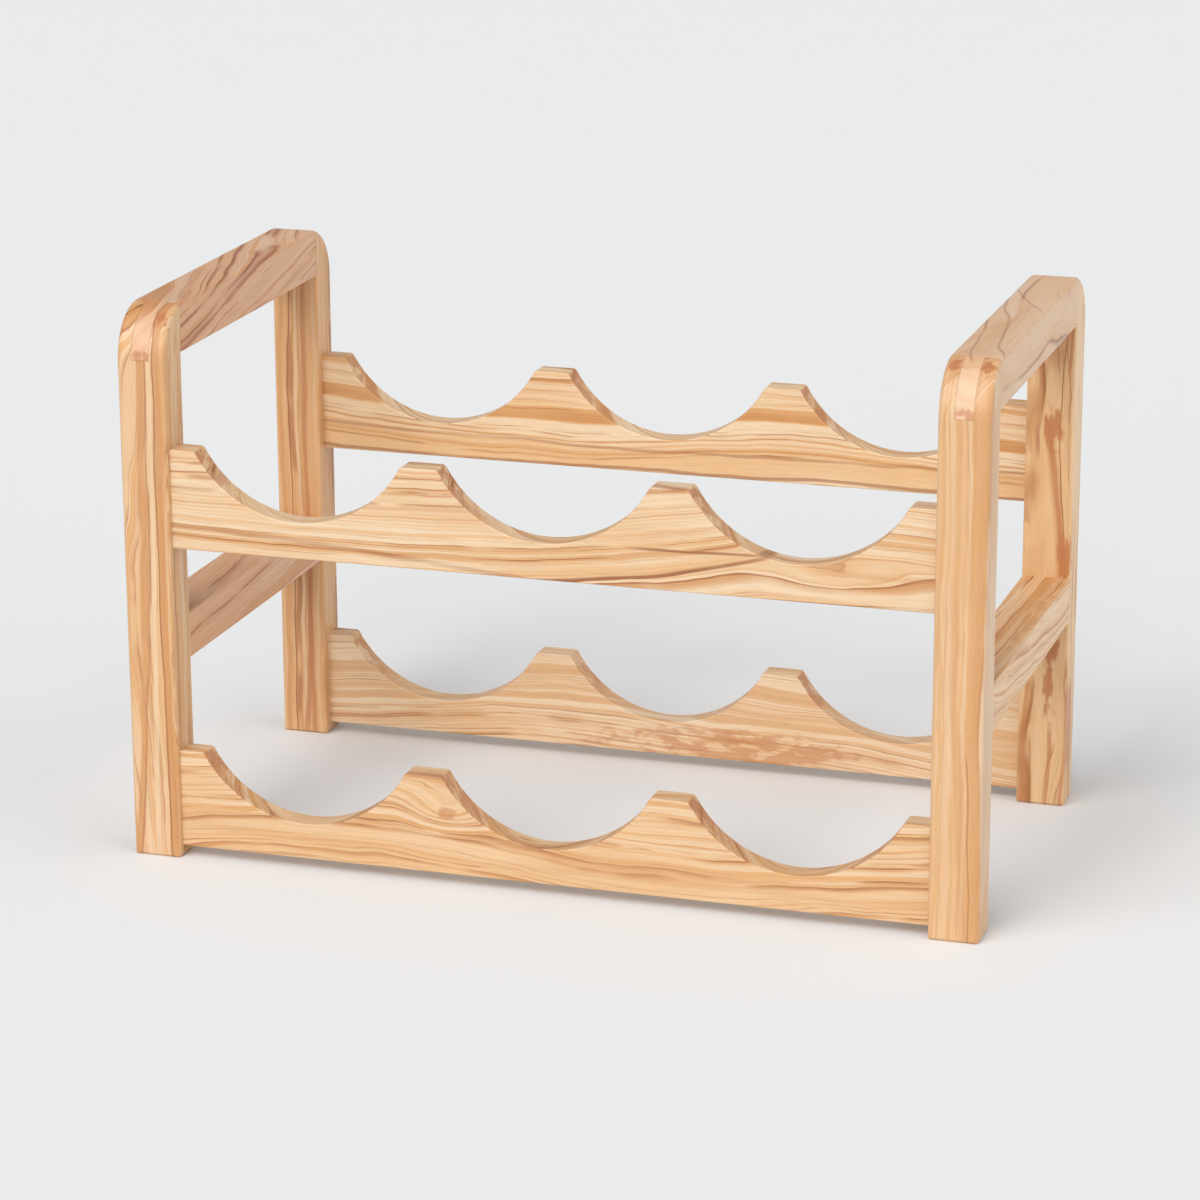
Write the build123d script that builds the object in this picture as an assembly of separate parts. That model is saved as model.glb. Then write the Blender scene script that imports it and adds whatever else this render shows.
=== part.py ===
from build123d import *
import math
import os

# Two-tier table-top wine rack in olive wood for six bottles, in mm.
# X is the width, Y the depth with the front at -Y, Z is up from the table.
# The origin is on the table under the middle of the rack.

# Driving dimensions.
rack_width = 380.0
rack_depth = 198.0
rack_height = 246.0

post_width = 22.0
post_depth = 19.0
top_rail_height = 22.0
mid_rail_height = 21.0
mid_rail_bottom = 87.0
corner_radius = 23.0
outer_edge_radius = 2.5
inner_edge_radius = 1.0
foot_chamfer = 1.0
tenon_thickness = 8.0

bottle_rail_thickness = 11.5
bottle_rail_height = 44.0
bottle_rail_setback = 3.0
lower_tier_bottom = 5.0
upper_tier_bottom = 141.0
rail_edge_radius = 0.6
peak_corner_radius = 2.0

bottle_pitch = 110.0
scoop_radius = 53.0
scoop_depth = 28.0
bottles_per_tier = 3

dowel_radius = 3.0
dowel_length = 28.0
dowel_end_chamfer = 0.6
glue_gap = 0.05
dowel_hole_in_post = 14.0
dowel_hole_in_rail = 15.0
bottle_dowel_heights = (10.0, 28.0)
mid_dowel_heights = (5.5, 15.5)

# Derived values.
half_width = rack_width / 2
half_depth = rack_depth / 2
post_x = half_width - post_width / 2
post_y = half_depth - post_depth / 2
clear_width = rack_width - 2 * post_width
clear_depth = rack_depth - 2 * post_depth
top_rail_bottom = rack_height - top_rail_height
mid_rail_top = mid_rail_bottom + mid_rail_height
bottle_rail_y = half_depth - bottle_rail_setback - bottle_rail_thickness / 2
hole_radius = dowel_radius + glue_gap

SIDES = {"left": -1, "right": 1}
ENDS = {"front": -1, "rear": 1}
TIERS = {"lower": lower_tier_bottom, "upper": upper_tier_bottom}


def block(size_x, size_y, size_z, centre_x, centre_y, bottom_z):
    """A plain block standing on bottom_z."""
    middle_z = bottom_z + size_z / 2
    return Pos(centre_x, centre_y, middle_z) * Box(size_x, size_y, size_z)


def frame_outline():
    """One side frame sanded to shape as a whole, centred on X = 0."""
    outline = block(post_width, rack_depth, rack_height, 0, 0, 0)
    top_edges = outline.edges().filter_by(Axis.X).group_by(Axis.Z)[-1]
    outline = fillet(top_edges, corner_radius)
    window_height = top_rail_bottom - mid_rail_top
    outline -= block(post_width, clear_depth, window_height, 0, 0, mid_rail_top)
    outline -= block(post_width, clear_depth, mid_rail_bottom, 0, 0, 0)
    foot_edges = outline.edges().filter_by(on_floor)
    return chamfer(foot_edges, foot_chamfer)


def on_side_face(edge):
    """True for an edge that lies wholly on one of the two broad faces."""
    low = edge.bounding_box().min.X
    high = edge.bounding_box().max.X
    return high - low < 0.01


def on_outside(edge):
    """True for an edge on the outer perimeter of the side frame."""
    box = edge.bounding_box()
    at_front = box.max.Y < -half_depth + corner_radius + 0.01
    at_rear = box.min.Y > half_depth - corner_radius - 0.01
    reaches_top = box.max.Z > rack_height - 0.01
    at_top = reaches_top and box.min.Z > rack_height - corner_radius - 0.01
    past_post = abs(box.center().Y) > half_depth - 0.5 * post_depth
    return at_top or ((at_front or at_rear) and past_post)


def on_floor(edge):
    """True for an edge of a post's foot, on the floor or at the top of its bevel."""
    return edge.bounding_box().max.Z < foot_chamfer + 0.01


def sanded_frame():
    """The side frame with its long edges rounded as they are after gluing."""
    frame = frame_outline()
    side_edges = [e for e in frame.edges() if on_side_face(e) and not on_floor(e)]
    outer_edges = [e for e in side_edges if on_outside(e)]
    frame = fillet(outer_edges, outer_edge_radius)
    side_edges = [e for e in frame.edges() if on_side_face(e) and not on_floor(e)]
    window_edges = [e for e in side_edges if is_window_edge(e)]
    frame = fillet(window_edges, inner_edge_radius)
    return frame


def is_window_edge(edge):
    """True for an edge round one of the two openings in a side frame."""
    box = edge.bounding_box()
    on_face = abs(abs(box.center().X) - post_width / 2) < 0.01
    inside_y = abs(box.min.Y) < clear_depth / 2 + 0.01 and abs(box.max.Y) < clear_depth / 2 + 0.01
    inside_z = box.max.Z < top_rail_bottom + 0.01
    return on_face and inside_y and inside_z


def dowel_hole_pair(heights, reach, direction):
    """Two level holes from a joint face at the origin, running both ways along an axis."""
    holes = Part()
    for height in heights:
        hole = Cylinder(hole_radius, 2 * reach)
        if direction == "x":
            hole = Rot(0, 90, 0) * hole
        else:
            hole = Rot(90, 0, 0) * hole
        holes += Pos(0, 0, height) * hole
    return holes


def joint_tenon_space(side, end):
    """The slot at the top of a post that the top rail's tenon fills."""
    return block(
        tenon_thickness,
        post_depth,
        top_rail_height,
        side * post_x,
        end * post_y,
        top_rail_bottom,
    )


def make_post(frame, side, end):
    """A post with an open slot at its top and dowel holes on its inner faces."""
    column = block(post_width, post_depth, rack_height, side * post_x, end * post_y, 0)
    post = column & frame
    post -= joint_tenon_space(side, end)
    inner_face_x = side * (half_width - post_width)
    for tier_bottom in TIERS.values():
        holes = dowel_hole_pair(bottle_dowel_heights, dowel_hole_in_post, "x")
        post -= Pos(inner_face_x, end * bottle_rail_y, tier_bottom) * holes
    inner_face_y = end * (half_depth - post_depth)
    holes = dowel_hole_pair(mid_dowel_heights, dowel_hole_in_post, "y")
    return post - Pos(side * post_x, inner_face_y, mid_rail_bottom) * holes


def make_top_rail(frame, side):
    """A top rail with a tenon at each end, shaped to the frame's rounded corners."""
    rail = block(post_width, clear_depth, top_rail_height, side * post_x, 0, top_rail_bottom)
    for end in ENDS.values():
        rail += joint_tenon_space(side, end)
    return rail & frame


def make_mid_rail(frame, side):
    """A mid rail butted between the posts, with dowel holes in its ends."""
    rail = block(post_width, clear_depth, mid_rail_height, side * post_x, 0, mid_rail_bottom)
    rail = rail & frame
    for end in ENDS.values():
        holes = dowel_hole_pair(mid_dowel_heights, dowel_hole_in_rail, "y")
        rail -= Pos(side * post_x, end * clear_depth / 2, mid_rail_bottom) * holes
    return rail


def make_bottle_rail(end, tier_bottom):
    """A rail with one round scoop for each bottle and dowel holes in its ends."""
    centre_y = end * bottle_rail_y
    rail = block(clear_width, bottle_rail_thickness, bottle_rail_height, 0, centre_y, tier_bottom)
    scoop_centre_z = tier_bottom + bottle_rail_height - scoop_depth + scoop_radius
    for place in range(bottles_per_tier):
        scoop_x = (place - (bottles_per_tier - 1) / 2) * bottle_pitch
        scoop = Rot(90, 0, 0) * Cylinder(scoop_radius, 2 * bottle_rail_thickness)
        rail -= Pos(scoop_x, centre_y, scoop_centre_z) * scoop
    rail_top = tier_bottom + bottle_rail_height
    peak_edges = [e for e in rail.edges() if is_peak_corner(e, rail_top)]
    rail = fillet(peak_edges, peak_corner_radius)
    long_edges = [e for e in rail.edges() if is_rail_long_edge(e)]
    rail = fillet(long_edges, rail_edge_radius)
    for side in SIDES.values():
        holes = dowel_hole_pair(bottle_dowel_heights, dowel_hole_in_rail, "x")
        rail -= Pos(side * clear_width / 2, centre_y, tier_bottom) * holes
    return rail


def is_peak_corner(edge, rail_top):
    """True for the edge across the rail where a peak's flat top meets a scoop."""
    box = edge.bounding_box()
    at_top = box.min.Z > rail_top - 0.01
    across = box.max.X - box.min.X < 0.01
    inside = abs(box.center().X) < clear_width / 2 - 0.01
    return at_top and across and inside


def is_rail_long_edge(edge):
    """True for an edge along a bottle rail's length on its front or rear face."""
    box = edge.bounding_box()
    flat_in_y = box.max.Y - box.min.Y < 0.01
    has_length = box.max.X - box.min.X > 0.01
    return flat_in_y and has_length


def dowel():
    """One plain beech dowel along Z with bevelled ends, centred on the origin."""
    pin = Cylinder(dowel_radius, dowel_length)
    return chamfer(pin.edges(), dowel_end_chamfer)


def dowel_pair(heights, direction):
    """Two dowels, one above the other, across a joint face at the origin."""
    pins = []
    for height in heights:
        if direction == "x":
            pins.append(Pos(0, 0, height) * Rot(0, 90, 0) * dowel())
        else:
            pins.append(Pos(0, 0, height) * Rot(90, 0, 0) * dowel())
    return pins


def save(shape, node):
    """Writes one node to its STEP file."""
    assert export_step(shape, os.path.join("parts", node + ".step"))


def main():
    os.makedirs("parts", exist_ok=True)
    frame_shape = sanded_frame()
    for side_name, side in SIDES.items():
        frame = Pos(side * post_x, 0, 0) * frame_shape
        save(make_top_rail(frame, side), side_name + "_top_rail")
        save(make_mid_rail(frame, side), side_name + "_mid_rail")
        for end_name, end in ENDS.items():
            save(make_post(frame, side, end), end_name + "_" + side_name + "_post")
            face_y = end * clear_depth / 2
            place = Pos(side * post_x, face_y, mid_rail_bottom)
            pins = Compound([place * pin for pin in dowel_pair(mid_dowel_heights, "y")])
            save(pins, side_name + "_mid_rail_" + end_name + "_dowels")
    for tier_name, tier_bottom in TIERS.items():
        for end_name, end in ENDS.items():
            rail_name = tier_name + "_" + end_name + "_bottle_rail"
            save(make_bottle_rail(end, tier_bottom), rail_name)
            for side_name, side in SIDES.items():
                face_x = side * clear_width / 2
                place = Pos(face_x, end * bottle_rail_y, tier_bottom)
                pins = Compound([place * pin for pin in dowel_pair(bottle_dowel_heights, "x")])
                save(pins, rail_name + "_" + side_name + "_dowels")


main()
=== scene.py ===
import math

import bmesh
import bpy
from bpy.props import FloatProperty, FloatVectorProperty, PointerProperty
from mathutils import Euler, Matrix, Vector

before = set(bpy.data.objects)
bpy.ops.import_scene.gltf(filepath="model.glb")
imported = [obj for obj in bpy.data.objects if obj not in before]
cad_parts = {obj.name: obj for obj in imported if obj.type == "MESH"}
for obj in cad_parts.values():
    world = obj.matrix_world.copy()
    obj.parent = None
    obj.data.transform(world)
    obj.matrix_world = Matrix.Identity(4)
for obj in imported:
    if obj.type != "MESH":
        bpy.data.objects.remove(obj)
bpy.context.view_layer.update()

bl_info = {
    "name": "Olive wood wine rack",
    "version": (1, 0, 0),
    "blender": (4, 5, 0),
    "location": "View3D > Sidebar > Wine rack",
    "description": "Finishes a two-tier wine rack in figured olive wood and sets its studio",
    "category": "Object",
}

CM_PER_M = 100.0

# The rack's own sizes that the finish follows, in metres.
POST_WIDTH = 0.022
POST_DEPTH = 0.019
RACK_HALF_WIDTH = 0.190
RACK_HALF_DEPTH = 0.099
RAIL_SETBACK = 0.003
RAIL_THICKNESS = 0.0115
TOP_RAIL_BOTTOM = 0.224
TENON_HALF = 0.004
POST_X = RACK_HALF_WIDTH - POST_WIDTH / 2
POST_Y = RACK_HALF_DEPTH - POST_DEPTH / 2
RAIL_Y = RACK_HALF_DEPTH - RAIL_SETBACK - RAIL_THICKNESS / 2
SHOULDER_Y = RACK_HALF_DEPTH - POST_DEPTH

# Heights of the members' middles, in metres.
POST_MIDDLE = 0.123
UPPER_TIER = 0.163
LOWER_TIER = 0.027
TOP_RAIL = 0.235
MID_RAIL = 0.0975

# Half the run of a path's places, in cm, on bottle rails, posts and side rails. The mid
# rails are shorter than this run and use its middle.
HALF_RAIL = 16.8
HALF_POST = 12.3
HALF_SIDE = 9.9

# How a member's own grain line is turned to lie along the board's X.
GRAIN_TURN = {
    "X": (0.0, 0.0, 0.0),
    "Y": (0.0, 0.0, -math.pi / 2),
    "Z": (0.0, math.pi / 2, 0.0),
}
GRAIN_LINE = {"X": (1, 0, 0), "Y": (0, 1, 0), "Z": (0, 0, 1)}

# The farthest a path may stray, in cm.
PITH_REACH = 12.0

# Growth rings: how far along the grain, in cm, each set comes and goes, where in a ring its
# thin line starts, and where its streak and its line are darkest before they stop.
RING_RUNS = {"broad": 5.0, "middle": 3.5, "fine": 3.0}
LINE_START = 0.80
STREAK_PEAK = 0.96
LINE_PEAK = 0.965

# Single streaks and stains: the share of a streak's width at full strength, its tapered
# ends as a share of the half length, and how ragged the edge of a stain is.
STREAK_CORE = 0.35
STREAK_TAPER = 0.08
STAIN_RAGGED = 1.6

# The figure's noises: features to the cm along the grain, across the depth and across the
# height, the shift of the board's seed, and the detail.
NOISES = {
    "wander": ((0.09, 0.30, 0.30), 0, 2.0),
    "ripple": ((0.35, 1.1, 1.1), 7, 2.0),
    "fibres": ((0.9, 26.0, 26.0), 31, 3.0),
    "clouds": ((0.12, 0.45, 0.45), 43, 2.0),
    "stains": ((0.8, 2.0, 2.0), 57, 3.0),
    "ragged": ((1.2, 4.0, 4.0), 61, 2.0),
    "fade": ((0.15, 0.4, 0.4), 67, 2.0),
    "blotches": ((0.9, 1.3, 1.6), 71, 3.0),
}

# Joints and cracks: half the width of a joint's hairline, in metres, and how dark they are.
JOINT_LINE = 0.00028
JOINT_STRENGTH = 0.55
CRACK_COLOUR = (0.080, 0.035, 0.015)
CRACK_STRENGTH = 0.95

# What end grain is multiplied by.
END_GRAIN_TINT = (0.92, 0.76, 0.62)

# The oiled surface, the height of its fibres in metres, and the sawn dowels with their
# flecks to the metre.
OIL_IOR = 1.47
OIL_ROUGHNESS = 0.28
FIBRE_BUMP = 0.12
FIBRE_HEIGHT = 0.0002
DOWEL_ROUGHNESS = 0.7
DOWEL_FLECKS = 900.0

# The stage: the floor in metres, each light's azimuth, elevation and spread in degrees, and
# the camera's sensor in mm and reach in metres.
FLOOR_HALF_SIZE = 40.0
FLOOR_ROUGHNESS = 0.9
FLOOR_SPECULAR = 0.1
LIGHTS = {
    "front": (265, 30, 40),
    "key": (240, 52, 36),
    "side": (350, 18, 70),
}
SENSOR_WIDTH = 36.0
VIEW_DISTANCE = 100.0


class WoodColours(bpy.types.PropertyGroup):
    """Colours of the oiled olive wood and of the hidden dowels."""

    cream: FloatVectorProperty(
        name="Cream",
        description="Palest sapwood between the growth lines",
        subtype="COLOR",
        size=3,
        min=0.0,
        max=1.0,
        default=(0.750, 0.565, 0.375),
    )
    honey: FloatVectorProperty(
        name="Honey",
        description="Warm ground colour of the wood",
        subtype="COLOR",
        size=3,
        min=0.0,
        max=1.0,
        default=(0.670, 0.385, 0.170),
    )
    tan: FloatVectorProperty(
        name="Tan",
        description="Darker bands of the figure",
        subtype="COLOR",
        size=3,
        min=0.0,
        max=1.0,
        default=(0.545, 0.250, 0.085),
    )
    line: FloatVectorProperty(
        name="Growth line",
        description="Thin brown lines along the grain",
        subtype="COLOR",
        size=3,
        min=0.0,
        max=1.0,
        default=(0.300, 0.105, 0.034),
    )
    heart: FloatVectorProperty(
        name="Heartwood stain",
        description="Brown stains round knots and in the heartwood",
        subtype="COLOR",
        size=3,
        min=0.0,
        max=1.0,
        default=(0.470, 0.180, 0.066),
    )
    dowel: FloatVectorProperty(
        name="Beech dowel",
        description="Plain beech of the dowels inside the joints",
        subtype="COLOR",
        size=3,
        min=0.0,
        max=1.0,
        default=(0.700, 0.500, 0.310),
    )


class WoodFinish(bpy.types.PropertyGroup):
    """How the figure and the oiled surface behave."""

    wander: FloatProperty(
        name="Wander",
        description="How far the growth lines stray across the grain, in cm",
        default=0.55,
        min=0.0,
        max=3.0,
    )
    ripple: FloatProperty(
        name="Ripple",
        description="Size of the short waves in the growth lines, in cm",
        default=0.10,
        min=0.0,
        max=1.0,
    )
    fibre: FloatProperty(
        name="Fibre",
        description="Strength of the fine lengthwise fibres",
        subtype="FACTOR",
        default=0.16,
        min=0.0,
        max=1.0,
    )
    roughness: FloatProperty(
        name="Roughness",
        description="Roughness of the rubbed oil finish",
        subtype="FACTOR",
        default=0.46,
        min=0.0,
        max=1.0,
    )
    coat: FloatProperty(
        name="Oil coat",
        description="Weight of the thin oil coat",
        subtype="FACTOR",
        default=0.20,
        min=0.0,
        max=1.0,
    )


class StudioSettings(bpy.types.PropertyGroup):
    """Floor, lights and camera."""

    floor_colour: FloatVectorProperty(
        name="Floor colour",
        description="Pale matt floor",
        subtype="COLOR",
        size=3,
        min=0.0,
        max=1.0,
        default=(0.793, 0.800, 0.806),
    )
    front_strength: FloatProperty(
        name="Front light",
        description="Strength of the broad low light in front of the rack",
        default=1.50,
        min=0.0,
        max=20.0,
    )
    key_strength: FloatProperty(
        name="Key light",
        description="Strength of the higher light at the upper left front",
        default=1.00,
        min=0.0,
        max=20.0,
    )
    side_strength: FloatProperty(
        name="Side light",
        description="Strength of the low light at the right",
        default=1.30,
        min=0.0,
        max=20.0,
    )
    sky_strength: FloatProperty(
        name="Fill light",
        description="Strength of the even light from the white studio all round",
        default=0.42,
        min=0.0,
        max=20.0,
    )
    camera_place: FloatVectorProperty(
        name="Camera place",
        description="Where the camera stands",
        subtype="TRANSLATION",
        unit="LENGTH",
        size=3,
        default=(0.52042, -1.66724, 0.62953),
    )
    camera_turn: FloatVectorProperty(
        name="Camera turn",
        description="How the camera is turned",
        subtype="EULER",
        unit="ROTATION",
        size=3,
        default=(math.radians(73.278), math.radians(0.2041), math.radians(17.4399)),
    )
    camera_lens: FloatProperty(
        name="Lens",
        description="Focal length of the camera in mm on a 36 mm wide sensor",
        default=123.4755,
        min=10.0,
        max=1000.0,
    )


class Nodes:
    """Adds shader nodes to one material and joins them."""

    def __init__(self, tree):
        self.tree = tree

    def put(self, socket, value):
        if isinstance(value, bpy.types.NodeSocket):
            self.tree.links.new(value, socket)
        else:
            socket.default_value = value

    def add(self, kind, **settings):
        node = self.tree.nodes.new(kind)
        for name, value in settings.items():
            setattr(node, name, value)
        return node

    def math(self, operation, first, second=0.0, third=0.0, clamp=False):
        node = self.add("ShaderNodeMath", operation=operation, use_clamp=clamp)
        self.put(node.inputs[0], first)
        self.put(node.inputs[1], second)
        self.put(node.inputs[2], third)
        return node.outputs[0]

    def vector_math(self, operation, first, second):
        node = self.add("ShaderNodeVectorMath", operation=operation)
        self.put(node.inputs[0], first)
        self.put(node.inputs[1], second)
        return node.outputs["Value" if operation in ("DOT_PRODUCT", "LENGTH") else "Vector"]

    def spread(self, value, low, high, to_low=0.0, to_high=1.0):
        """Maps low..high to to_low..to_high with soft ends."""
        node = self.add("ShaderNodeMapRange", interpolation_type="SMOOTHSTEP", clamp=True)
        self.put(node.inputs["Value"], value)
        self.put(node.inputs["From Min"], low)
        self.put(node.inputs["From Max"], high)
        self.put(node.inputs["To Min"], to_low)
        self.put(node.inputs["To Max"], to_high)
        return node.outputs["Result"]

    def split(self, vector):
        node = self.add("ShaderNodeSeparateXYZ")
        self.put(node.inputs[0], vector)
        return node.outputs

    def join(self, x, y, z):
        node = self.add("ShaderNodeCombineXYZ")
        self.put(node.inputs[0], x)
        self.put(node.inputs[1], y)
        self.put(node.inputs[2], z)
        return node.outputs[0]

    def noise(self, vector, detail, roughness=0.5, colour=False):
        node = self.add("ShaderNodeTexNoise", noise_dimensions="3D")
        self.put(node.inputs["Vector"], vector)
        self.put(node.inputs["Scale"], 1.0)
        self.put(node.inputs["Detail"], detail)
        self.put(node.inputs["Roughness"], roughness)
        return node.outputs["Color" if colour else "Fac"]

    def lottery(self, value):
        """Three unrelated random numbers for each whole number."""
        node = self.add("ShaderNodeTexWhiteNoise", noise_dimensions="1D")
        self.put(node.inputs["W"], value)
        return self.split(node.outputs["Color"])

    def noise_line(self, value, detail, roughness=0.5):
        """One-dimensional noise along a value."""
        node = self.add("ShaderNodeTexNoise", noise_dimensions="1D")
        self.put(node.inputs["W"], value)
        self.put(node.inputs["Scale"], 1.0)
        self.put(node.inputs["Detail"], detail)
        self.put(node.inputs["Roughness"], roughness)
        return node.outputs["Fac"]

    def ramp(self, value, stops):
        node = self.add("ShaderNodeValToRGB")
        self.put(node.inputs[0], value)
        elements = node.color_ramp.elements
        while len(elements) < len(stops):
            elements.new(0.5)
        for element, (place, colour) in zip(elements, stops):
            element.position = place
            element.color = (*colour, 1.0)
        return node.outputs["Color"]

    def curve(self, value, points, reach):
        """A smooth path through (place, offset) points; places run over -1..1."""
        node = self.add("ShaderNodeFloatCurve")
        self.put(node.inputs["Value"], self.math("MULTIPLY_ADD", value, 0.5, 0.5))
        line = node.mapping.curves[0]
        placed = [(p * 0.5 + 0.5, o / (2 * reach) + 0.5) for p, o in points]
        while len(line.points) < len(placed):
            line.points.new(0.5, 0.5)
        for point, (place, height) in zip(line.points, placed):
            point.location = (place, height)
        node.mapping.update()
        height = self.math("SUBTRACT", node.outputs[0], 0.5)
        return self.math("MULTIPLY", height, 2 * reach)

    def mix(self, factor, first, second, blend="MIX"):
        node = self.add("ShaderNodeMix", data_type="RGBA", blend_type=blend)
        self.put(node.inputs[0], factor)
        self.put(node.inputs[6], as_rgba(first))
        self.put(node.inputs[7], as_rgba(second))
        return node.outputs[2]


def as_rgba(colour):
    """A socket as it is, or a colour with its alpha."""
    if isinstance(colour, bpy.types.NodeSocket):
        return colour
    return (*tuple(colour)[:3], 1.0)


def blend(first, second, share):
    """A colour part of the way from the first to the second."""
    return [a + (b - a) * share for a, b in zip(first, second)]


class Board:
    """One member's own piece of the log: its grain, the pith's path past it and its marks.

    The pith's path is given by (place, offset) points: place runs from -1 to 1 along the
    member, and the offsets, in cm, are across its depth and across its height.
    The marks are optional:
    rings, middle_rings, fine_rings: three sets of growth rings, each as rings to the cm
    line_strength, middle_strength, fine_strength: how dark each set is
    thin: how much of the rings' broad streaks is left out, so that only lines show
    bands: cream and honey bands to the cm
    tone: above 0 the ground is more honey, below 0 more cream
    dark: above 0 the streaks are nearer to heartwood
    tint_and_painted_light: a last multiplier of the colour; on the rear bottle rails it is
    painted light that brightens them against the shade of the front and top rails
    wander: how far the rings stray, as a multiple of the finish's own wander
    pale_ends: how much paler the end grain is
    veins: the member's single streaks
    knots: (centre, reach, lift) where the rings bend round a knot, all in cm
    stains: (centre, reach, strength) of heartwood patches, in cm
    cracks: (start, end, half width) in the rack's own metres
    """

    def __init__(self, grain, half_length, centre, seed, depth_path, height_path, **marks):
        self.grain = grain
        self.half_length = half_length
        self.centre = centre
        self.seed = seed
        self.depth_path = depth_path
        self.height_path = height_path
        self.rings = marks.get("rings", 1.3)
        self.middle_rings = marks.get("middle_rings", 2.6)
        self.fine_rings = marks.get("fine_rings", 5.5)
        self.line_strength = marks.get("line_strength", 0.9)
        self.middle_strength = marks.get("middle_strength", 0.5)
        self.fine_strength = marks.get("fine_strength", 0.2)
        self.thin = marks.get("thin", 0.0)
        self.bands = marks.get("bands", 0.8)
        self.tone = marks.get("tone", 0.0)
        self.dark = marks.get("dark", 0.0)
        self.tint_and_painted_light = marks.get("tint_and_painted_light", (1.0, 1.0, 1.0))
        self.wander = marks.get("wander", 1.0)
        self.pale_ends = marks.get("pale_ends", 0.0)
        self.veins = marks.get("veins", ())
        self.knots = marks.get("knots", ())
        self.stains = marks.get("stains", ())
        self.cracks = marks.get("cracks", ())


class Streak:
    """One streak along a member, through (place, offset) points.

    It fades above and below its path, in cm. The offset is across the member's height, or
    across its depth for a streak that is seen on a side face. It runs over span only, and
    a top_only streak stays off the side faces.
    """

    def __init__(self, path, above, below, strength, colour="line", **marks):
        self.path = path
        self.above = above
        self.below = below
        self.strength = strength
        self.colour = colour
        self.across_depth = marks.get("across_depth", False)
        self.top_only = marks.get("top_only", False)
        self.span = marks.get("span", (-1.2, 1.2))


def straight(offset):
    """A path that keeps the same offset all along."""
    return ((-1.0, offset), (1.0, offset))


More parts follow.
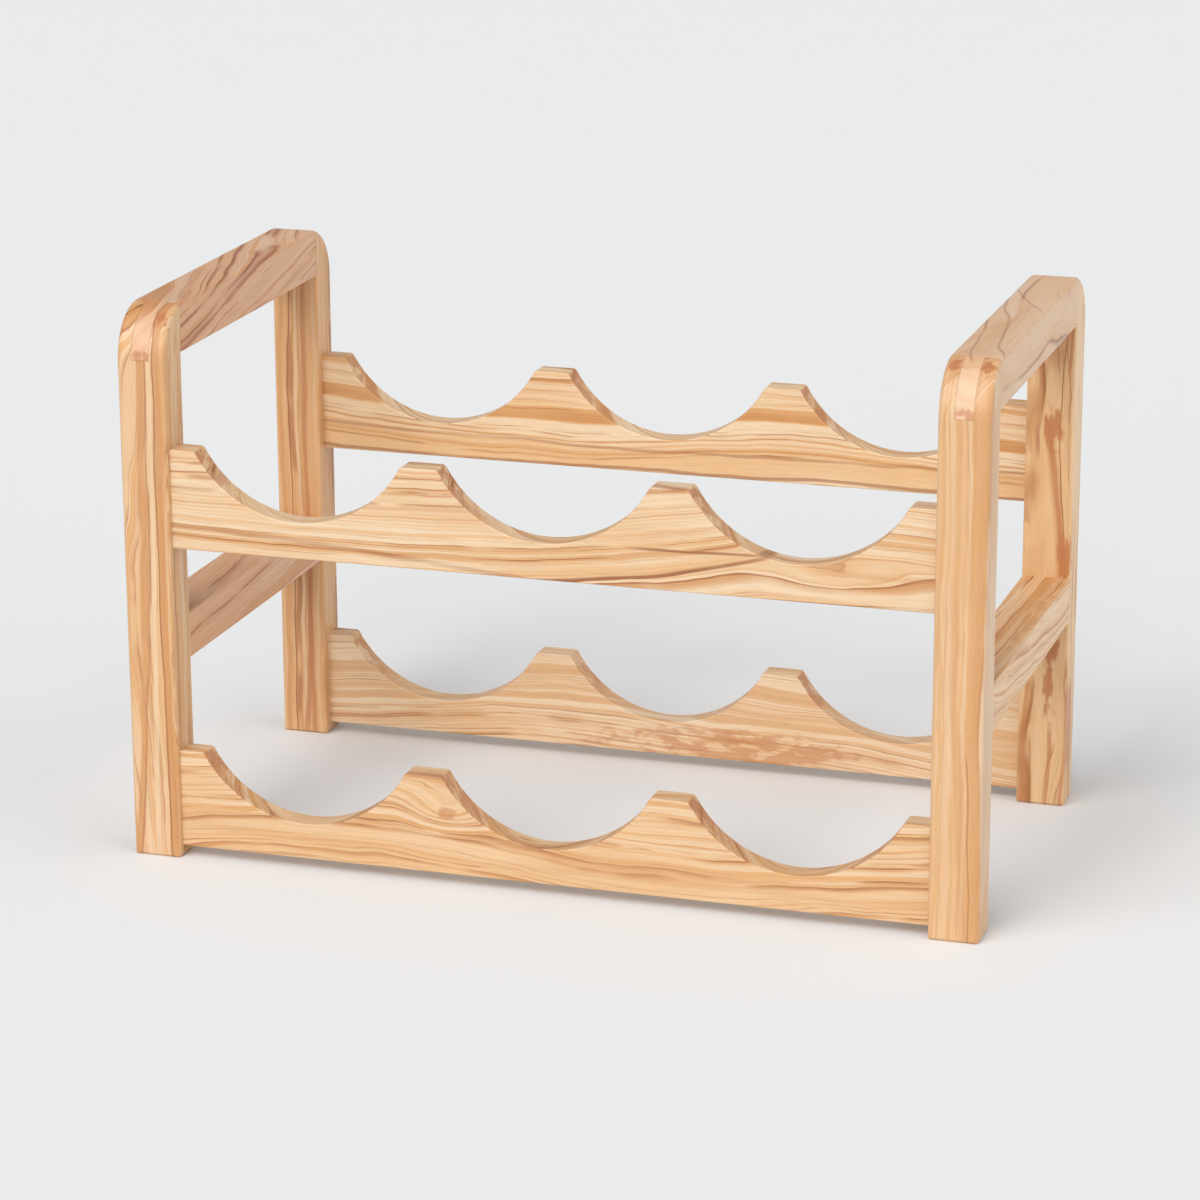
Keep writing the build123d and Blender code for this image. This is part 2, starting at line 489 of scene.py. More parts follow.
BOARDS = {
    "upper_front_bottle_rail": Board(
        "X", HALF_RAIL, (0.0, -RAIL_Y, UPPER_TIER), 3.7,
        straight(2.2),
        ((-1.0, -5.3), (-0.1, -5.0), (0.35, -4.2), (0.6, -3.4), (0.8, -3.2), (1.0, -3.3)),
        wander=0.4,
        bands=1.0,
        line_strength=1.0,
        middle_strength=0.6,
        tone=-0.15,
        veins=(
            Streak(((0.0, -2.0), (0.356, -1.35), (0.595, -0.41)), 0.75, 0.02, 0.65, "honey",
                   span=(-0.15, 0.62)),
            Streak(((0.0, -2.2), (0.356, -1.40), (0.595, -0.43)), 0.16, 0.07, 0.95,
                   span=(-0.15, 0.62)),
            Streak(((0.2, -0.45), (0.595, -0.41)), 0.08, 0.10, 0.85, span=(0.2, 0.62)),
            Streak(((-1.0, -1.2), (-0.5, -1.5), (0.0, -2.2)), 0.08, 0.20, 0.5, span=(-1.2, 0.02)),
            Streak(((0.50, -1.43), (0.79, -1.87), (1.0, -1.9)), 0.42, 0.30, 0.75, "cream",
                   span=(0.5, 1.2)),
            Streak(((0.7, -1.0), (0.85, -1.05), (1.0, -1.0)), 0.35, 0.05, 0.55, "tan",
                   span=(0.66, 1.2)),
        ),
        knots=(((13.0, -0.6, -1.2), (5.0, 2.0, 1.2), 0.6),),
    ),
    "upper_rear_bottle_rail": Board(
        "X", HALF_RAIL, (0.0, RAIL_Y, UPPER_TIER), 11.3,
        straight(2.6),
        ((-1.0, -5.4), (-0.3, -5.8), (0.3, -5.2), (1.0, -5.6)),
        veins=(
            Streak(((-1.0, -1.55), (0.0, -1.7), (1.0, -1.6)), 0.8, 0.6, 0.45, "honey"),
            Streak(((-1.0, -1.95), (0.0, -2.1), (1.0, -2.05)), 0.10, 0.12, 0.7),
            Streak(((-1.0, -0.9), (0.0, -1.2), (1.0, -1.0)), 0.16, 0.05, 0.5),
        ),
        # Painted light: this tint brightens the rail where the front and top rails shade it.
        tint_and_painted_light=(1.06, 1.06, 1.04),
        wander=0.7,
        dark=0.1,
        line_strength=0.85,
        middle_strength=0.65,
    ),
    "lower_front_bottle_rail": Board(
        "X", HALF_RAIL, (0.0, -RAIL_Y, LOWER_TIER), 23.9,
        straight(2.6),
        ((-1.0, -5.2), (-0.3, -4.6), (0.2, -5.4), (1.0, -4.8)),
        line_strength=1.0,
        middle_strength=0.8,
        fine_strength=0.75,
        tone=0.2,
        knots=(((-4.52, -0.6, 0.68), (2.6, 2.0, 1.6), 0.7),),
        veins=(
            Streak(((-1.0, -1.3), (0.0, -1.5), (1.0, -1.4)), 1.3, 0.9, 0.4, "honey"),
            Streak(((-1.0, -1.3), (0.0, -1.5), (1.0, -1.4)), 0.30, 0.25, 0.3, "tan"),
        ),
        stains=(((-4.5, -0.6, 0.6), (0.5, 1.0, 0.35), 0.6),),
    ),
    "lower_rear_bottle_rail": Board(
        "X", HALF_RAIL, (0.0, RAIL_Y, LOWER_TIER), 31.1,
        straight(2.4),
        ((-1.0, 5.6), (0.0, 6.4), (1.0, 5.2)),
        line_strength=0.7,
        tone=-0.3,
        # Painted light: this tint brightens the rail where the front rails shade it.
        tint_and_painted_light=(1.07, 1.07, 1.08),
        stains=(((3.6, -0.5, -1.5), (7.0, 2.0, 0.9), 0.6),),
    ),
    "front_left_post": Board(
        "Z", HALF_POST, (-POST_X, -POST_Y, POST_MIDDLE), 41.7,
        ((-1.0, 1.2), (0.0, 2.2), (1.0, 1.4)),
        ((-1.0, 2.6), (0.0, 2.0), (1.0, 2.4)),
        wander=0.9,
        bands=0.75,
        middle_strength=0.45,
        fine_strength=0.12,
        tone=0.25,
        dark=0.4,
        tint_and_painted_light=(0.98, 0.94, 0.90),
        veins=(
            Streak(((-1.0, 0.80), (-0.6, 0.50), (-0.2, 0.25), (1.0, 0.20)), 0.30, 0.26, 0.75,
                   "tan"),
            Streak(((-1.0, 0.66), (-0.6, 0.36), (-0.2, 0.02), (1.0, -0.05)), 0.10, 0.02, 0.5),
            Streak(((-1.0, -0.10), (-0.2, -0.26), (1.0, -0.28)), 0.18, 0.16, 0.65, "cream"),
            Streak(((-1.0, -0.95), (-0.5, -0.85), (0.0, -0.74), (1.0, -0.70)), 0.24, 0.30, 0.75,
                   "tan"),
            Streak(((-1.0, -0.78), (-0.5, -0.66), (0.0, -0.52), (1.0, -0.50)), 0.02, 0.10, 0.75),
            Streak(((-1.0, 0.10), (1.0, 0.15)), 0.26, 0.22, 0.45, "cream", across_depth=True,
                   span=(-1.2, 0.86)),
            Streak(((-1.0, -0.50), (1.0, -0.55)), 0.05, 0.05, 0.75, across_depth=True,
                   span=(-1.2, 0.86)),
            Streak(((-1.0, 0.60), (1.0, 0.50)), 0.05, 0.16, 0.55, "tan", across_depth=True,
                   span=(-1.2, 0.86)),
        ),
        stains=(
            ((11.79, -0.10, -0.60), (0.55, 0.55, 0.40), 1.0),
            ((10.6, -0.9, 0.05), (0.6, 0.6, 0.42), 0.5),
        ),
        cracks=(((-0.1840, -0.0837, 0.2447), (-0.1890, -0.0895, 0.2412), 0.0007),),
    ),
    "rear_left_post": Board(
        "Z", HALF_POST, (-POST_X, POST_Y, POST_MIDDLE), 53.2,
        straight(3.0),
        straight(3.6),
        wander=0.6,
        tone=0.45,
        line_strength=1.0,
        middle_strength=0.9,
        fine_strength=0.15,
        dark=0.6,
        tint_and_painted_light=(0.99, 0.93, 0.88),
        veins=(
            Streak(((-1.0, 0.35), (0.0, 0.30), (1.0, 0.21)), 0.06, 0.05, 0.85),
            Streak(((-1.0, -0.55), (0.0, -0.50), (1.0, -0.48)), 0.20, 0.16, 0.7, "heart"),
            Streak(((-1.0, -0.15), (1.0, -0.10)), 0.12, 0.10, 0.6, "cream"),
            Streak(((-1.0, 0.75), (1.0, 0.70)), 0.18, 0.14, 0.5, "tan"),
            Streak(((-1.0, -0.05), (-0.6, -0.40), (-0.3, -0.45)), 0.10, 0.30, 0.7, "heart",
                   span=(-1.2, -0.2)),
        ),
    ),
    "front_right_post": Board(
        "Z", HALF_POST, (POST_X, -POST_Y, POST_MIDDLE), 61.9,
        straight(4.0),
        straight(4.4),
        wander=0.6,
        bands=0.6,
        rings=0.8,
        tone=0.5,
        line_strength=0.4,
        middle_strength=0.35,
        fine_strength=0.1,
        tint_and_painted_light=(0.99, 0.99, 1.02),
        veins=(
            Streak(((-1.0, -0.35), (-0.35, -0.10), (0.0, 0.12), (1.0, 0.05)), 0.22, 0.24, 0.40,
                   "tan"),
            Streak(((-1.0, 0.55), (0.0, 0.45), (1.0, 0.55)), 0.05, 0.05, 0.5, "tan"),
            Streak(((-1.0, -0.62), (-0.3, -0.50)), 0.05, 0.04, 0.6, span=(-1.2, -0.3)),
            Streak(((-0.1, 0.80), (1.0, 0.72)), 0.05, 0.12, 0.4, "tan", span=(-0.1, 1.2)),
            Streak(((0.2, -0.55), (1.0, -0.50)), 0.10, 0.05, 0.4, "tan", span=(0.2, 1.2)),
            Streak(((-1.0, -1.15), (1.0, -1.15)), 0.12, 0.40, 0.60, "cream"),
        ),
        stains=(
            ((12.05, 0.31, 0.70), (0.45, 0.50, 0.34), 1.0),
            ((11.99, 0.20, -0.70), (0.50, 0.50, 0.34), 1.0),
        ),
    ),
    "rear_right_post": Board(
        "Z", HALF_POST, (POST_X, POST_Y, POST_MIDDLE), 71.4,
        straight(2.3),
        ((-1.0, 1.5), (0.0, 0.9), (1.0, 1.3)),
        tone=0.4,
        dark=0.4,
        tint_and_painted_light=(1.07, 1.04, 0.97),
        veins=(
            Streak(((-0.2, -0.50), (0.2, -0.38), (0.45, -0.15)), 0.30, 0.30, 0.55, "tan",
                   span=(-0.25, 0.50)),
            Streak(((-0.2, -0.55), (0.2, -0.42), (0.45, -0.15)), 0.20, 0.14, 0.70, "heart",
                   span=(-0.1, 0.50)),
            Streak(((-0.2, -0.75), (0.2, -0.62), (0.75, -0.70)), 0.04, 0.04, 0.8,
                   span=(-0.2, 0.8)),
            Streak(((-1.0, 0.95), (-0.4, 0.88)), 0.10, 0.12, 0.5, "heart", span=(-1.2, -0.42)),
            Streak(((-1.0, 0.50), (-0.75, 0.62)), 0.04, 0.05, 0.8, span=(-1.2, -0.70)),
            Streak(((-1.0, -0.28), (-0.6, -0.22)), 0.12, 0.12, 0.75, "heart", span=(-1.2, -0.66)),
            Streak(((-1.0, -0.90), (-0.5, -0.92)), 0.12, 0.08, 0.65, "heart", span=(-1.2, -0.5)),
            Streak(((0.55, -0.92), (1.0, -0.95)), 0.10, 0.08, 0.8, "heart", span=(0.6, 1.2)),
            Streak(((-1.0, -1.16), (1.0, -1.16)), 0.12, 0.40, 0.60, "cream"),
        ),
        stains=(
            ((5.2, -1.0, -0.15), (1.3, 1.2, 0.50), 0.9),
            ((-0.6, -1.0, -0.80), (1.3, 1.2, 0.36), 0.9),
            ((-5.6, -1.0, -0.40), (3.4, 1.2, 0.46), 0.9),
            ((9.6, -1.0, -0.2), (1.6, 1.2, 0.9), 0.35),
        ),
    ),
    "left_top_rail": Board(
        "Y", HALF_SIDE, (-POST_X, 0.0, TOP_RAIL), 83.6,
        ((-1.0, -5.4), (1.0, -3.2)),
        ((-1.0, -5.8), (1.0, -3.4)),
        tone=0.25,
        dark=0.9,
        line_strength=1.0,
        middle_strength=0.8,
        tint_and_painted_light=(0.96, 0.85, 0.85),
        pale_ends=0.7,
        stains=(((-9.9, 0.0, -0.95), (0.6, 0.6, 0.32), 0.6),),
    ),
    "right_top_rail": Board(
        "Y", HALF_SIDE, (POST_X, 0.0, TOP_RAIL), 97.2,
        ((-1.0, 3.0), (1.0, 4.2)),
        ((-1.0, -3.6), (1.0, -1.6)),
        bands=0.2,
        rings=0.9,
        tone=-0.35,
        dark=0.8,
        line_strength=0.8,
        middle_strength=0.25,
        fine_strength=0.05,
        thin=0.8,
        wander=1.8,
        tint_and_painted_light=(1.0, 0.95, 0.98),
        pale_ends=0.6,
        veins=(
            Streak(((-0.75, -0.9), (-0.6, -0.5), (-0.3, -0.1), (0.0, 0.35), (0.3, 0.75),
                    (0.46, 1.1)), 0.05, 0.09, 0.5,
                   across_depth=True, top_only=True, span=(-0.8, 0.46)),
            Streak(((-0.85, 0.0), (-0.7, 0.3), (-0.35, 0.6), (-0.02, 1.1)), 0.05, 0.09, 0.5,
                   across_depth=True, top_only=True, span=(-0.9, -0.02)),
            Streak(((0.05, -0.95), (0.2, -0.3), (0.42, 0.37), (0.75, 1.0)), 0.05, 0.09, 0.5,
                   across_depth=True, top_only=True, span=(0.02, 0.80)),
            Streak(((-0.6, 1.0), (-0.2, 0.2), (0.1, -0.2)), 0.25, 0.25, 0.5, "honey",
                   across_depth=True, top_only=True, span=(-0.8, 0.2)),
        ),
        stains=(((-9.9, 0.0, -0.95), (0.6, 0.6, 0.34), 0.6),),
    ),
    "left_mid_rail": Board(
        "Y", HALF_SIDE, (-POST_X, 0.0, MID_RAIL), 103.8,
        straight(-4.0),
        ((-1.0, -5.4), (1.0, -3.6)),
        tone=0.25,
        dark=0.9,
        line_strength=1.0,
        middle_strength=0.6,
        tint_and_painted_light=(0.97, 0.84, 0.84),
    ),
    "right_mid_rail": Board(
        "Y", HALF_SIDE, (POST_X, 0.0, MID_RAIL), 113.5,
        straight(3.8),
        ((-1.0, 3.6), (1.0, 1.8)),
        tone=0.15,
        dark=0.5,
        line_strength=1.0,
        middle_strength=0.5,
        tint_and_painted_light=(1.07, 1.03, 0.99),
        stains=(
            ((3.0, -0.6, 0.9), (7.0, 0.5, 0.6), 0.4),
            ((-4.0, 0.5, 0.9), (4.0, 0.4, 0.6), 0.3),
        ),
    ),
}


def own_noise(nodes, board, vector, kind, **settings):
    """One of the figure's noises, in this board's own part of it."""
    scale, shift, detail = NOISES[kind]
    seed = board.seed + shift
    stretched = nodes.vector_math("MULTIPLY", vector, scale)
    moved = nodes.vector_math("ADD", stretched, (seed * 1.7, seed * 0.9, seed * 2.3))
    return nodes.noise(moved, detail, **settings)


def board_coordinates(nodes, board):
    """Object coordinates centred on the member and turned so the grain runs along X, in cm."""
    turn = Euler(GRAIN_TURN[board.grain])
    centre = turn.to_matrix() @ Vector(board.centre) * CM_PER_M
    texture = nodes.add("ShaderNodeTexCoord")
    mapping = nodes.add("ShaderNodeMapping", vector_type="POINT")
    mapping.inputs["Location"].default_value = -centre
    mapping.inputs["Rotation"].default_value = turn
    mapping.inputs["Scale"].default_value = (CM_PER_M, CM_PER_M, CM_PER_M)
    nodes.put(mapping.inputs["Vector"], texture.outputs["Object"])
    return texture.outputs["Object"], mapping.outputs["Vector"]


def ring_distance(nodes, board, vector, finish):
    """Distance from the wandering pith, which the growth lines follow, and the bent vector."""
    along = nodes.math("DIVIDE", nodes.split(vector)[0], board.half_length)
    wide = own_noise(nodes, board, vector, "wander", colour=True)
    wide = nodes.vector_math("SUBTRACT", wide, (0.5, 0.5, 0.5))
    amount = 2 * finish.wander * board.wander
    wide = nodes.vector_math("MULTIPLY", wide, (0.0, amount, amount))
    short = own_noise(nodes, board, vector, "ripple", colour=True)
    short = nodes.vector_math("SUBTRACT", short, (0.5, 0.5, 0.5))
    short = nodes.vector_math("MULTIPLY", short, (0.0, 2 * finish.ripple, 2 * finish.ripple))
    bent = nodes.vector_math("ADD", nodes.vector_math("ADD", vector, wide), short)
    parts = nodes.split(bent)
    depth = nodes.math("SUBTRACT", parts[1], nodes.curve(along, board.depth_path, PITH_REACH))
    height = nodes.math("SUBTRACT", parts[2], nodes.curve(along, board.height_path, PITH_REACH))
    distance = nodes.vector_math("LENGTH", nodes.join(0.0, depth, height), (0, 0, 0))
    for centre, reach, lift in board.knots:
        near = nodes.spread(ellipse(nodes, vector, centre, reach), 1.0, 0.0)
        distance = nodes.math("MULTIPLY_ADD", near, lift, distance)
    return distance, along, parts


def ellipse(nodes, vector, centre, reach):
    """0 at the centre of an egg-shaped patch, 1 at its edge; both in the board's own cm."""
    away = nodes.vector_math("SUBTRACT", vector, centre)
    away = nodes.vector_math("DIVIDE", away, reach)
    return nodes.vector_math("LENGTH", away, (0, 0, 0))


def growth_rings(nodes, vector, distance, per_cm, seed, run):
    """One set of growth rings, as lottery numbers, a streak mask and a thin line mask.

    A ring darkens slowly outwards and stops at a sharp line. Every ring has its own
    strength and width, and it comes and goes along the board.
    """
    uneven = nodes.noise_line(nodes.math("MULTIPLY_ADD", distance, 0.6 * per_cm, seed), 2.0)
    count = nodes.math("MULTIPLY_ADD", uneven, 2.4, seed)
    count = nodes.math("MULTIPLY_ADD", distance, per_cm, count)
    ring = nodes.math("FLOOR", count)
    phase = nodes.math("FRACT", count)
    luck = nodes.lottery(ring)
    start = nodes.math("MULTIPLY_ADD", luck[2], 0.50, 0.30)
    stop = nodes.spread(phase, 1.0, LINE_PEAK)
    streak = nodes.math("MULTIPLY", nodes.spread(phase, start, STREAK_PEAK), stop)
    line = nodes.math("MULTIPLY", nodes.spread(phase, LINE_START, LINE_PEAK), stop)
    place = nodes.vector_math("MULTIPLY", vector, (1.0 / run, 0.35, 0.35))
    ring_place = nodes.join(nodes.math("MULTIPLY", ring, 7.3), seed, 0.0)
    place = nodes.vector_math("ADD", place, ring_place)
    fade = nodes.spread(nodes.noise(place, 2.0), 0.40, 0.58)
    strength = nodes.math("MULTIPLY", nodes.spread(luck[0], 0.10, 0.60), fade)
    return luck, nodes.math("MULTIPLY", streak, strength), nodes.math("MULTIPLY", line, strength)


def ground_colour(nodes, board, distance, luck, colours):
    """Cream and honey bands with dark edges, each ring a little apart from the last."""
    place = nodes.math("MULTIPLY_ADD", distance, board.bands, board.seed)
    bands = nodes.noise_line(place, 3.0, 0.6)
    own = nodes.math("SUBTRACT", luck[1], 0.5)
    bands = nodes.math("MULTIPLY_ADD", own, 0.06, bands)
    bands = nodes.spread(bands, 0.28, 0.72)
    cream, honey, tan, line = colours.cream, colours.honey, colours.tan, colours.line
    pale_honey = blend(cream, honey, 0.5)
    stops = (
        (0.00, tan),
        (0.14, honey),
        (0.19, blend(honey, tan, 0.5)),
        (0.215, cream),
        (0.36, cream),
        (0.46, pale_honey),
        (0.49, cream),
        (0.57, pale_honey),
        (0.60, blend(honey, tan, 0.7)),
        (0.62, honey),
        (0.72, pale_honey),
        (0.80, cream),
        (0.86, honey),
        (0.885, blend(tan, line, 0.4)),
        (0.90, honey),
        (1.00, pale_honey),
    )
    colour = nodes.ramp(bands, stops)
    towards = honey if board.tone > 0 else cream
    return nodes.mix(abs(board.tone), colour, towards)


def streak_mask(nodes, vector, along, parts, streak):
    """1 on a streak's path, fading to 0 above and below it and past its ends."""
    side = parts[1] if streak.across_depth else parts[2]
    offset = nodes.math("SUBTRACT", side, nodes.curve(along, streak.path, PITH_REACH))
    upper = nodes.spread(offset, streak.above, STREAK_CORE * streak.above)
    lower = nodes.spread(offset, -streak.below, -STREAK_CORE * streak.below)
    start, stop = streak.span
    begun = nodes.spread(along, start, start + STREAK_TAPER)
    unfinished = nodes.spread(along, stop, stop - STREAK_TAPER)
    mask = nodes.math("MULTIPLY", upper, lower)
    if streak.top_only:
        mask = nodes.math("MULTIPLY", mask, nodes.spread(nodes.split(vector)[2], 0.80, 1.05))
    return nodes.math("MULTIPLY", mask, nodes.math("MULTIPLY", begun, unfinished))


def end_grain(nodes, board):
    """1 where the surface cuts across the grain, 0 where it runs along it."""
    geometry = nodes.add("ShaderNodeNewGeometry")
    facing = nodes.vector_math("DOT_PRODUCT", geometry.outputs["Normal"], GRAIN_LINE[board.grain])
    return nodes.spread(nodes.math("ABSOLUTE", facing), 0.25, 0.95)


def joint_lines(nodes, place):
    """Hairlines where the tenon shows in the post and where the rail's shoulders stop."""
    x, y, z = nodes.split(place)
    side = nodes.math("ABSOLUTE", nodes.math("SUBTRACT", nodes.math("ABSOLUTE", x), POST_X))
    beside = nodes.math("SUBTRACT", side, TENON_HALF)
    below = nodes.math("SUBTRACT", TOP_RAIL_BOTTOM, z)
    outline = nodes.math("ABSOLUTE", nodes.math("MAXIMUM", beside, below))
    outline = nodes.spread(outline, JOINT_LINE, 0.0)
    past = nodes.math("GREATER_THAN", nodes.math("ABSOLUTE", y), SHOULDER_Y)
    outline = nodes.math("MULTIPLY", outline, past)
    shoulder = nodes.math("SUBTRACT", nodes.math("ABSOLUTE", y), SHOULDER_Y)
    shoulder = nodes.spread(nodes.math("ABSOLUTE", shoulder), JOINT_LINE, 0.0)
    above = nodes.math("GREATER_THAN", z, TOP_RAIL_BOTTOM)
    cheek = nodes.math("GREATER_THAN", beside, 0.0)
    shoulder = nodes.math("MULTIPLY", nodes.math("MULTIPLY", shoulder, above), cheek)
    return nodes.math("MAXIMUM", outline, shoulder)


def crack_mask(nodes, place, start, end, half_width):
    """1 within half_width of the straight line between two points, in metres."""
    start, end = Vector(start), Vector(end)
    run = end - start
    offset = nodes.vector_math("SUBTRACT", place, tuple(start))
    share = nodes.vector_math("DOT_PRODUCT", offset, tuple(run / run.length_squared))
    share = nodes.math("MULTIPLY", share, 1.0, clamp=True)
    nearest = nodes.add("ShaderNodeVectorMath", operation="SCALE")
    nearest.inputs[0].default_value = run
    nodes.put(nearest.inputs["Scale"], share)
    away = nodes.vector_math("SUBTRACT", offset, nearest.outputs["Vector"])
    away = nodes.vector_math("LENGTH", away, (0, 0, 0))
    return nodes.spread(away, half_width, 0.3 * half_width)


def add_rings(nodes, board, vector, distance, colours):
    """The ground colour with its three sets of growth rings."""
    luck, streak, line = growth_rings(
        nodes, vector, distance, board.rings, board.seed, RING_RUNS["broad"]
    )
    middle = growth_rings(
        nodes, vector, distance, board.middle_rings, board.seed * 1.9 + 5, RING_RUNS["middle"]
    )
    fine = growth_rings(
        nodes, vector, distance, board.fine_rings, board.seed * 2.7 + 9, RING_RUNS["fine"]
    )
    colour = ground_colour(nodes, board, distance, luck, colours)
    clouds = own_noise(nodes, board, vector, "clouds")
    clouds = nodes.spread(clouds, 0.42, 0.70, 0.0, 0.45)
    colour = nodes.mix(clouds, colour, colours.honey)
    streak_colour = blend(colours.tan, colours.heart, board.dark)
    for (streaks, lines), strength in (
        ((streak, line), board.line_strength),
        (middle[1:], board.middle_strength),
        (fine[1:], board.fine_strength),
    ):
        broad = nodes.math("MULTIPLY", streaks, strength * (1.0 - board.thin))
        colour = nodes.mix(broad, colour, streak_colour)
        colour = nodes.mix(nodes.math("MULTIPLY", lines, strength), colour, colours.line)
    return colour


def add_veins(nodes, board, vector, along, parts, colour, colours):
    """The member's single streaks, each coming and going a little."""
    if not board.veins:
        return colour
    fade = own_noise(nodes, board, vector, "fade")
    fade = nodes.spread(fade, 0.30, 0.55, 0.55, 1.0)
    for vein in board.veins:
        mask = nodes.math("MULTIPLY", streak_mask(nodes, vector, along, parts, vein), fade)
        mask = nodes.math("MULTIPLY", mask, vein.strength)
        colour = nodes.mix(mask, colour, getattr(colours, vein.colour))
    return colour


def add_end_grain(nodes, board, vector, colour, colours):
    """Darker and, on the scoops, blotched where the surface cuts across the grain."""
    across = end_grain(nodes, board)
    if board.grain == "X":
        blotches = own_noise(nodes, board, vector, "blotches")
        blotches = nodes.math("MULTIPLY", nodes.spread(blotches, 0.44, 0.53), across)
        colour = nodes.mix(nodes.math("MULTIPLY", blotches, 0.7), colour, colours.heart)
    colour = nodes.mix(nodes.math("MULTIPLY", across, 0.5), colour, END_GRAIN_TINT, "MULTIPLY")
    if board.pale_ends:
        pale = nodes.math("MULTIPLY", across, board.pale_ends)
        colour = nodes.mix(pale, colour, blend(colours.cream, colours.honey, 0.3))
    return colour


def add_stains(nodes, board, vector, colour, colours):
    """Ragged, egg-shaped patches of heartwood."""
    if not board.stains:
        return colour
    blotch = own_noise(nodes, board, vector, "stains")
    blotch = nodes.spread(blotch, 0.38, 0.50)
    ragged = own_noise(nodes, board, vector, "ragged")
    ragged = nodes.math("MULTIPLY_ADD", ragged, STAIN_RAGGED, -0.5 * STAIN_RAGGED)
    for centre, reach, strength in board.stains:
        edge = nodes.math("ADD", ellipse(nodes, vector, centre, reach), ragged)
        mask = nodes.math("MULTIPLY", nodes.spread(edge, 1.0, 0.6), blotch)
        colour = nodes.mix(nodes.math("MULTIPLY", mask, strength), colour, colours.heart)
    return colour


def olive_wood(name, board, colours, finish):
    """Oiled olive wood for one member, cut from its own part of the log."""
    material = bpy.data.materials.new(name)
    material.use_nodes = True
    nodes = Nodes(material.node_tree)
    shader = material.node_tree.nodes["Principled BSDF"]
    place, vector = board_coordinates(nodes, board)
    distance, along, parts = ring_distance(nodes, board, vector, finish)

    colour = add_rings(nodes, board, vector, distance, colours)
    colour = add_veins(nodes, board, vector, along, parts, colour, colours)
    fibres = own_noise(nodes, board, vector, "fibres", roughness=0.6)
    grey = nodes.spread(fibres, 0.25, 0.75, 1.0 - finish.fibre * 0.5, 1.0 + finish.fibre * 0.25)
    colour = nodes.mix(1.0, colour, nodes.join(grey, grey, grey), "MULTIPLY")
    colour = add_end_grain(nodes, board, vector, colour, colours)
    colour = add_stains(nodes, board, vector, colour, colours)
    for start, end, half_width in board.cracks:
        mask = crack_mask(nodes, place, start, end, half_width)
        colour = nodes.mix(nodes.math("MULTIPLY", mask, CRACK_STRENGTH), colour, CRACK_COLOUR)
    if "post" in name or "top_rail" in name:
        seam = nodes.math("MULTIPLY", joint_lines(nodes, place), JOINT_STRENGTH)
        colour = nodes.mix(seam, colour, colours.line)
    # The last multiplier of the colour; on the rear bottle rails it is painted light, brightening
    # them where the front and top rails shade them.
    colour = nodes.mix(1.0, colour, board.tint_and_painted_light, "MULTIPLY")
    nodes.put(shader.inputs["Base Color"], colour)

    gloss = nodes.spread(fibres, 0.3, 0.7, finish.roughness + 0.06, finish.roughness - 0.04)
    nodes.put(shader.inputs["Roughness"], gloss)
    shader.inputs["IOR"].default_value = OIL_IOR
    shader.inputs["Coat Weight"].default_value = finish.coat
    shader.inputs["Coat Roughness"].default_value = OIL_ROUGHNESS
    bump = nodes.add("ShaderNodeBump")
    bump.inputs["Strength"].default_value = FIBRE_BUMP
    bump.inputs["Distance"].default_value = FIBRE_HEIGHT
    nodes.put(bump.inputs["Height"], fibres)
    nodes.put(shader.inputs["Normal"], bump.outputs["Normal"])
    return material


def beech(colours):
    """Plain sawn beech for the dowels inside the joints."""
    material = bpy.data.materials.new("beech_dowel")
    material.use_nodes = True
    nodes = Nodes(material.node_tree)
    shader = material.node_tree.nodes["Principled BSDF"]
    texture = nodes.add("ShaderNodeTexCoord")
    flecks = nodes.vector_math("MULTIPLY", texture.outputs["Object"], (DOWEL_FLECKS,) * 3)
    flecks = nodes.spread(nodes.noise(flecks, 2.0), 0.35, 0.65, 0.85, 1.05)
    shade = nodes.join(flecks, flecks, flecks)
    nodes.put(shader.inputs["Base Color"], nodes.mix(1.0, colours.dowel, shade, "MULTIPLY"))
    shader.inputs["Roughness"].default_value = DOWEL_ROUGHNESS
    return material


def finish_member(name):
    """Gives one member its own olive wood."""
    scene = bpy.context.scene
    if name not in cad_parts:
        raise RuntimeError("the rack has no member named " + name)
    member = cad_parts[name]
    wood = olive_wood(name + "_wood", BOARDS[name], scene.wood_colours, scene.wood_finish)
    member.data.materials.clear()
    member.data.materials.append(wood)


class FinishMembers:
    """Shared work of the operators that finish a group of like members."""

    ending = ""

    def execute(self, context):
        names = [name for name in sorted(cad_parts) if name.endswith(self.ending)]
        if not names:
            raise RuntimeError("no member ends in " + self.ending)
        for name in names:
            finish_member(name)
        return {"FINISHED"}


class RACK_OT_finish_posts(FinishMembers, bpy.types.Operator):
    """Finish the four posts in olive wood"""

    bl_idname = "rack.finish_posts"
    bl_label = "Finish posts"
    ending = "_post"


class RACK_OT_finish_top_rails(FinishMembers, bpy.types.Operator):
    """Finish the two top rails in olive wood"""

    bl_idname = "rack.finish_top_rails"
    bl_label = "Finish top rails"
    ending = "_top_rail"


class RACK_OT_finish_mid_rails(FinishMembers, bpy.types.Operator):
    """Finish the two mid rails in olive wood"""

    bl_idname = "rack.finish_mid_rails"
    bl_label = "Finish mid rails"
    ending = "_mid_rail"


class RACK_OT_finish_bottle_rails(FinishMembers, bpy.types.Operator):
    """Finish the four scalloped bottle rails in olive wood"""

    bl_idname = "rack.finish_bottle_rails"
    bl_label = "Finish bottle rails"
    ending = "_bottle_rail"


class RACK_OT_finish_dowels(bpy.types.Operator):
    """Finish the hidden dowels in plain beech"""

    bl_idname = "rack.finish_dowels"
    bl_label = "Finish dowels"

    def execute(self, context):
        wood = beech(context.scene.wood_colours)
        for name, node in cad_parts.items():
            if name.endswith("_dowels"):
                node.data.materials.clear()
                node.data.materials.append(wood)
        return {"FINISHED"}


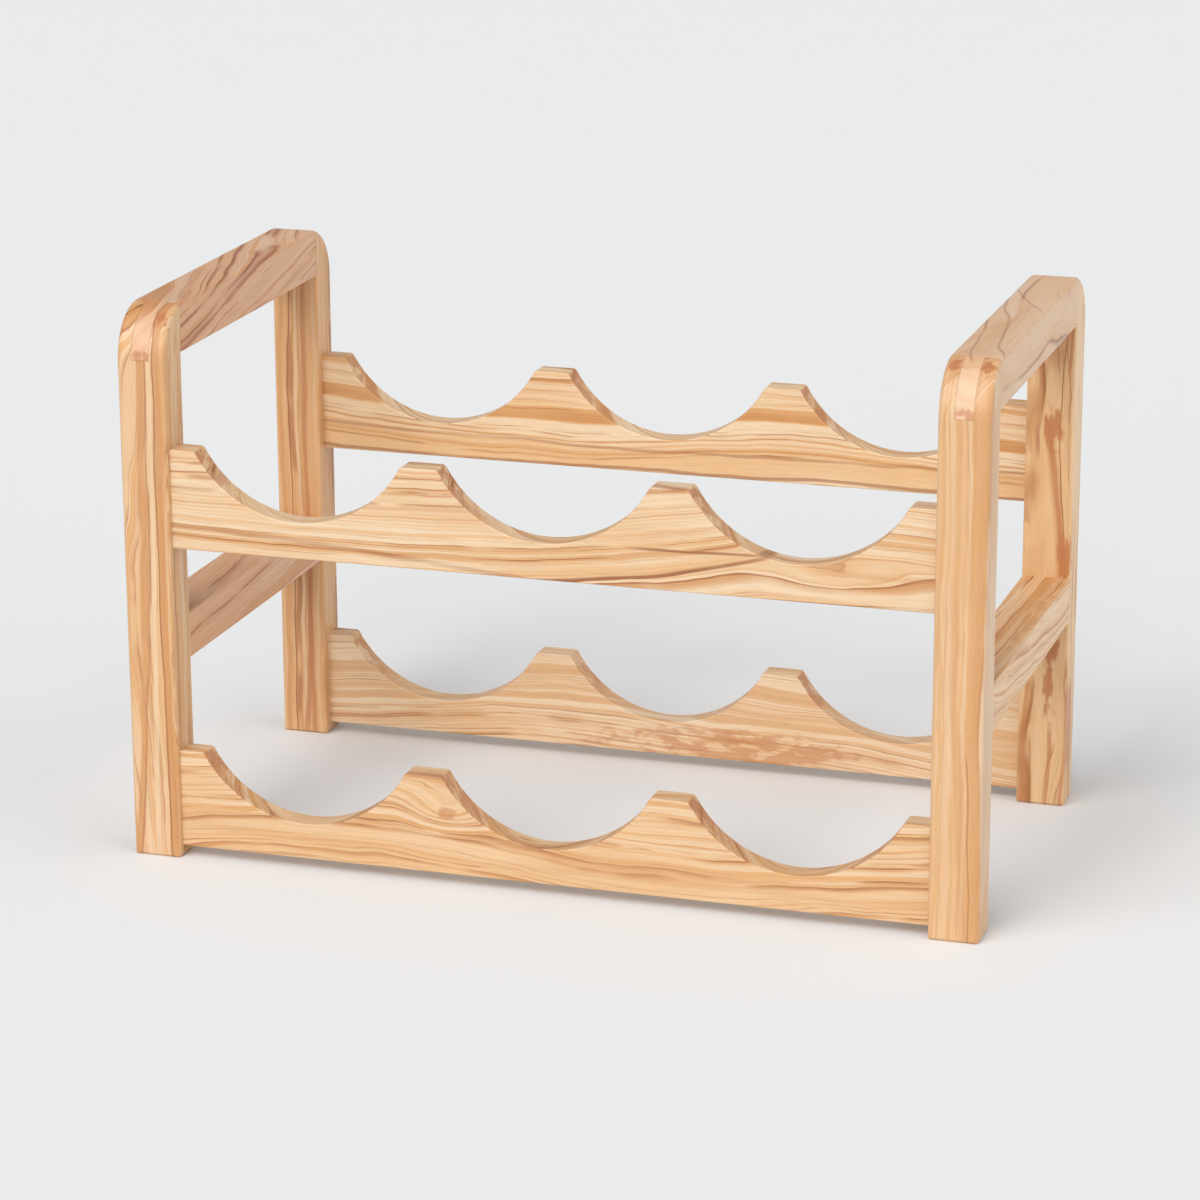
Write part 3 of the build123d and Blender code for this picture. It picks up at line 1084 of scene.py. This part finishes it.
def plain_floor(settings):
    """A very large matt floor under the rack."""
    mesh = bpy.data.meshes.new("studio_floor")
    shape = bmesh.new()
    bmesh.ops.create_grid(shape, x_segments=1, y_segments=1, size=FLOOR_HALF_SIZE)
    shape.to_mesh(mesh)
    shape.free()
    floor = bpy.data.objects.new("studio_floor", mesh)
    bpy.context.scene.collection.objects.link(floor)
    material = bpy.data.materials.new("studio_floor")
    material.use_nodes = True
    shader = material.node_tree.nodes["Principled BSDF"]
    shader.inputs["Base Color"].default_value = (*settings.floor_colour, 1.0)
    shader.inputs["Roughness"].default_value = FLOOR_ROUGHNESS
    shader.inputs["Specular IOR Level"].default_value = FLOOR_SPECULAR
    mesh.materials.append(material)


def studio_lights(settings):
    """Three broad soft lights and an even white room."""
    world = bpy.data.worlds.new("studio")
    world.use_nodes = True
    background = world.node_tree.nodes["Background"]
    background.inputs["Color"].default_value = (1.0, 1.0, 1.0, 1.0)
    background.inputs["Strength"].default_value = settings.sky_strength
    bpy.context.scene.world = world
    for name, direction in LIGHTS.items():
        soft_light(name + "_light", *direction, getattr(settings, name + "_strength"))


def soft_light(name, azimuth, elevation, spread, strength):
    """A broad soft light; azimuth runs from the right round to the back, all in degrees."""
    data = bpy.data.lights.new(name, "SUN")
    data.energy = strength
    data.angle = math.radians(spread)
    light = bpy.data.objects.new(name, data)
    turn = Euler((math.radians(90 - elevation), 0.0, math.radians(azimuth + 90)))
    light.rotation_euler = turn
    bpy.context.scene.collection.objects.link(light)


def studio_camera(settings):
    """The camera in front of the rack, to its right and above it."""
    data = bpy.data.cameras.new("studio_camera")
    data.sensor_width = SENSOR_WIDTH
    data.lens = settings.camera_lens
    data.clip_end = VIEW_DISTANCE
    camera = bpy.data.objects.new("studio_camera", data)
    camera.location = settings.camera_place
    camera.rotation_euler = settings.camera_turn
    bpy.context.scene.collection.objects.link(camera)
    bpy.context.scene.camera = camera


class RACK_OT_set_stage(bpy.types.Operator):
    """Lay the pale floor and place the lights and the camera"""

    bl_idname = "rack.set_stage"
    bl_label = "Set stage"

    def execute(self, context):
        settings = context.scene.studio_settings
        plain_floor(settings)
        studio_lights(settings)
        studio_camera(settings)
        context.scene.view_settings.view_transform = "Standard"
        return {"FINISHED"}


class RACK_PT_panel(bpy.types.Panel):
    """Lists the rack's settings and the steps that finish it"""

    bl_idname = "RACK_PT_panel"
    bl_label = "Wine rack"
    bl_space_type = "VIEW_3D"
    bl_region_type = "UI"
    bl_category = "Wine rack"

    def draw(self, context):
        layout = self.layout
        for group_name in ("wood_colours", "wood_finish", "studio_settings"):
            group = getattr(context.scene, group_name)
            box = layout.box()
            for setting in group.bl_rna.properties:
                if setting.identifier not in ("rna_type", "name"):
                    box.prop(group, setting.identifier)
        for step in STEPS:
            layout.operator(step.bl_idname)


STEPS = (
    RACK_OT_finish_posts,
    RACK_OT_finish_top_rails,
    RACK_OT_finish_mid_rails,
    RACK_OT_finish_bottle_rails,
    RACK_OT_finish_dowels,
    RACK_OT_set_stage,
)
GROUPS = {
    "wood_colours": WoodColours,
    "wood_finish": WoodFinish,
    "studio_settings": StudioSettings,
}


def register():
    for group_name, group in GROUPS.items():
        bpy.utils.register_class(group)
        setattr(bpy.types.Scene, group_name, PointerProperty(type=group))
    for step in STEPS:
        bpy.utils.register_class(step)
    bpy.utils.register_class(RACK_PT_panel)


def unregister():
    bpy.utils.unregister_class(RACK_PT_panel)
    for step in reversed(STEPS):
        bpy.utils.unregister_class(step)
    for group_name, group in GROUPS.items():
        delattr(bpy.types.Scene, group_name)
        bpy.utils.unregister_class(group)


def main():
    register()
    bpy.ops.rack.finish_posts()
    bpy.ops.rack.finish_top_rails()
    bpy.ops.rack.finish_mid_rails()
    bpy.ops.rack.finish_bottle_rails()
    bpy.ops.rack.finish_dowels()
    bpy.ops.rack.set_stage()


if __name__ == "__main__":
    main()
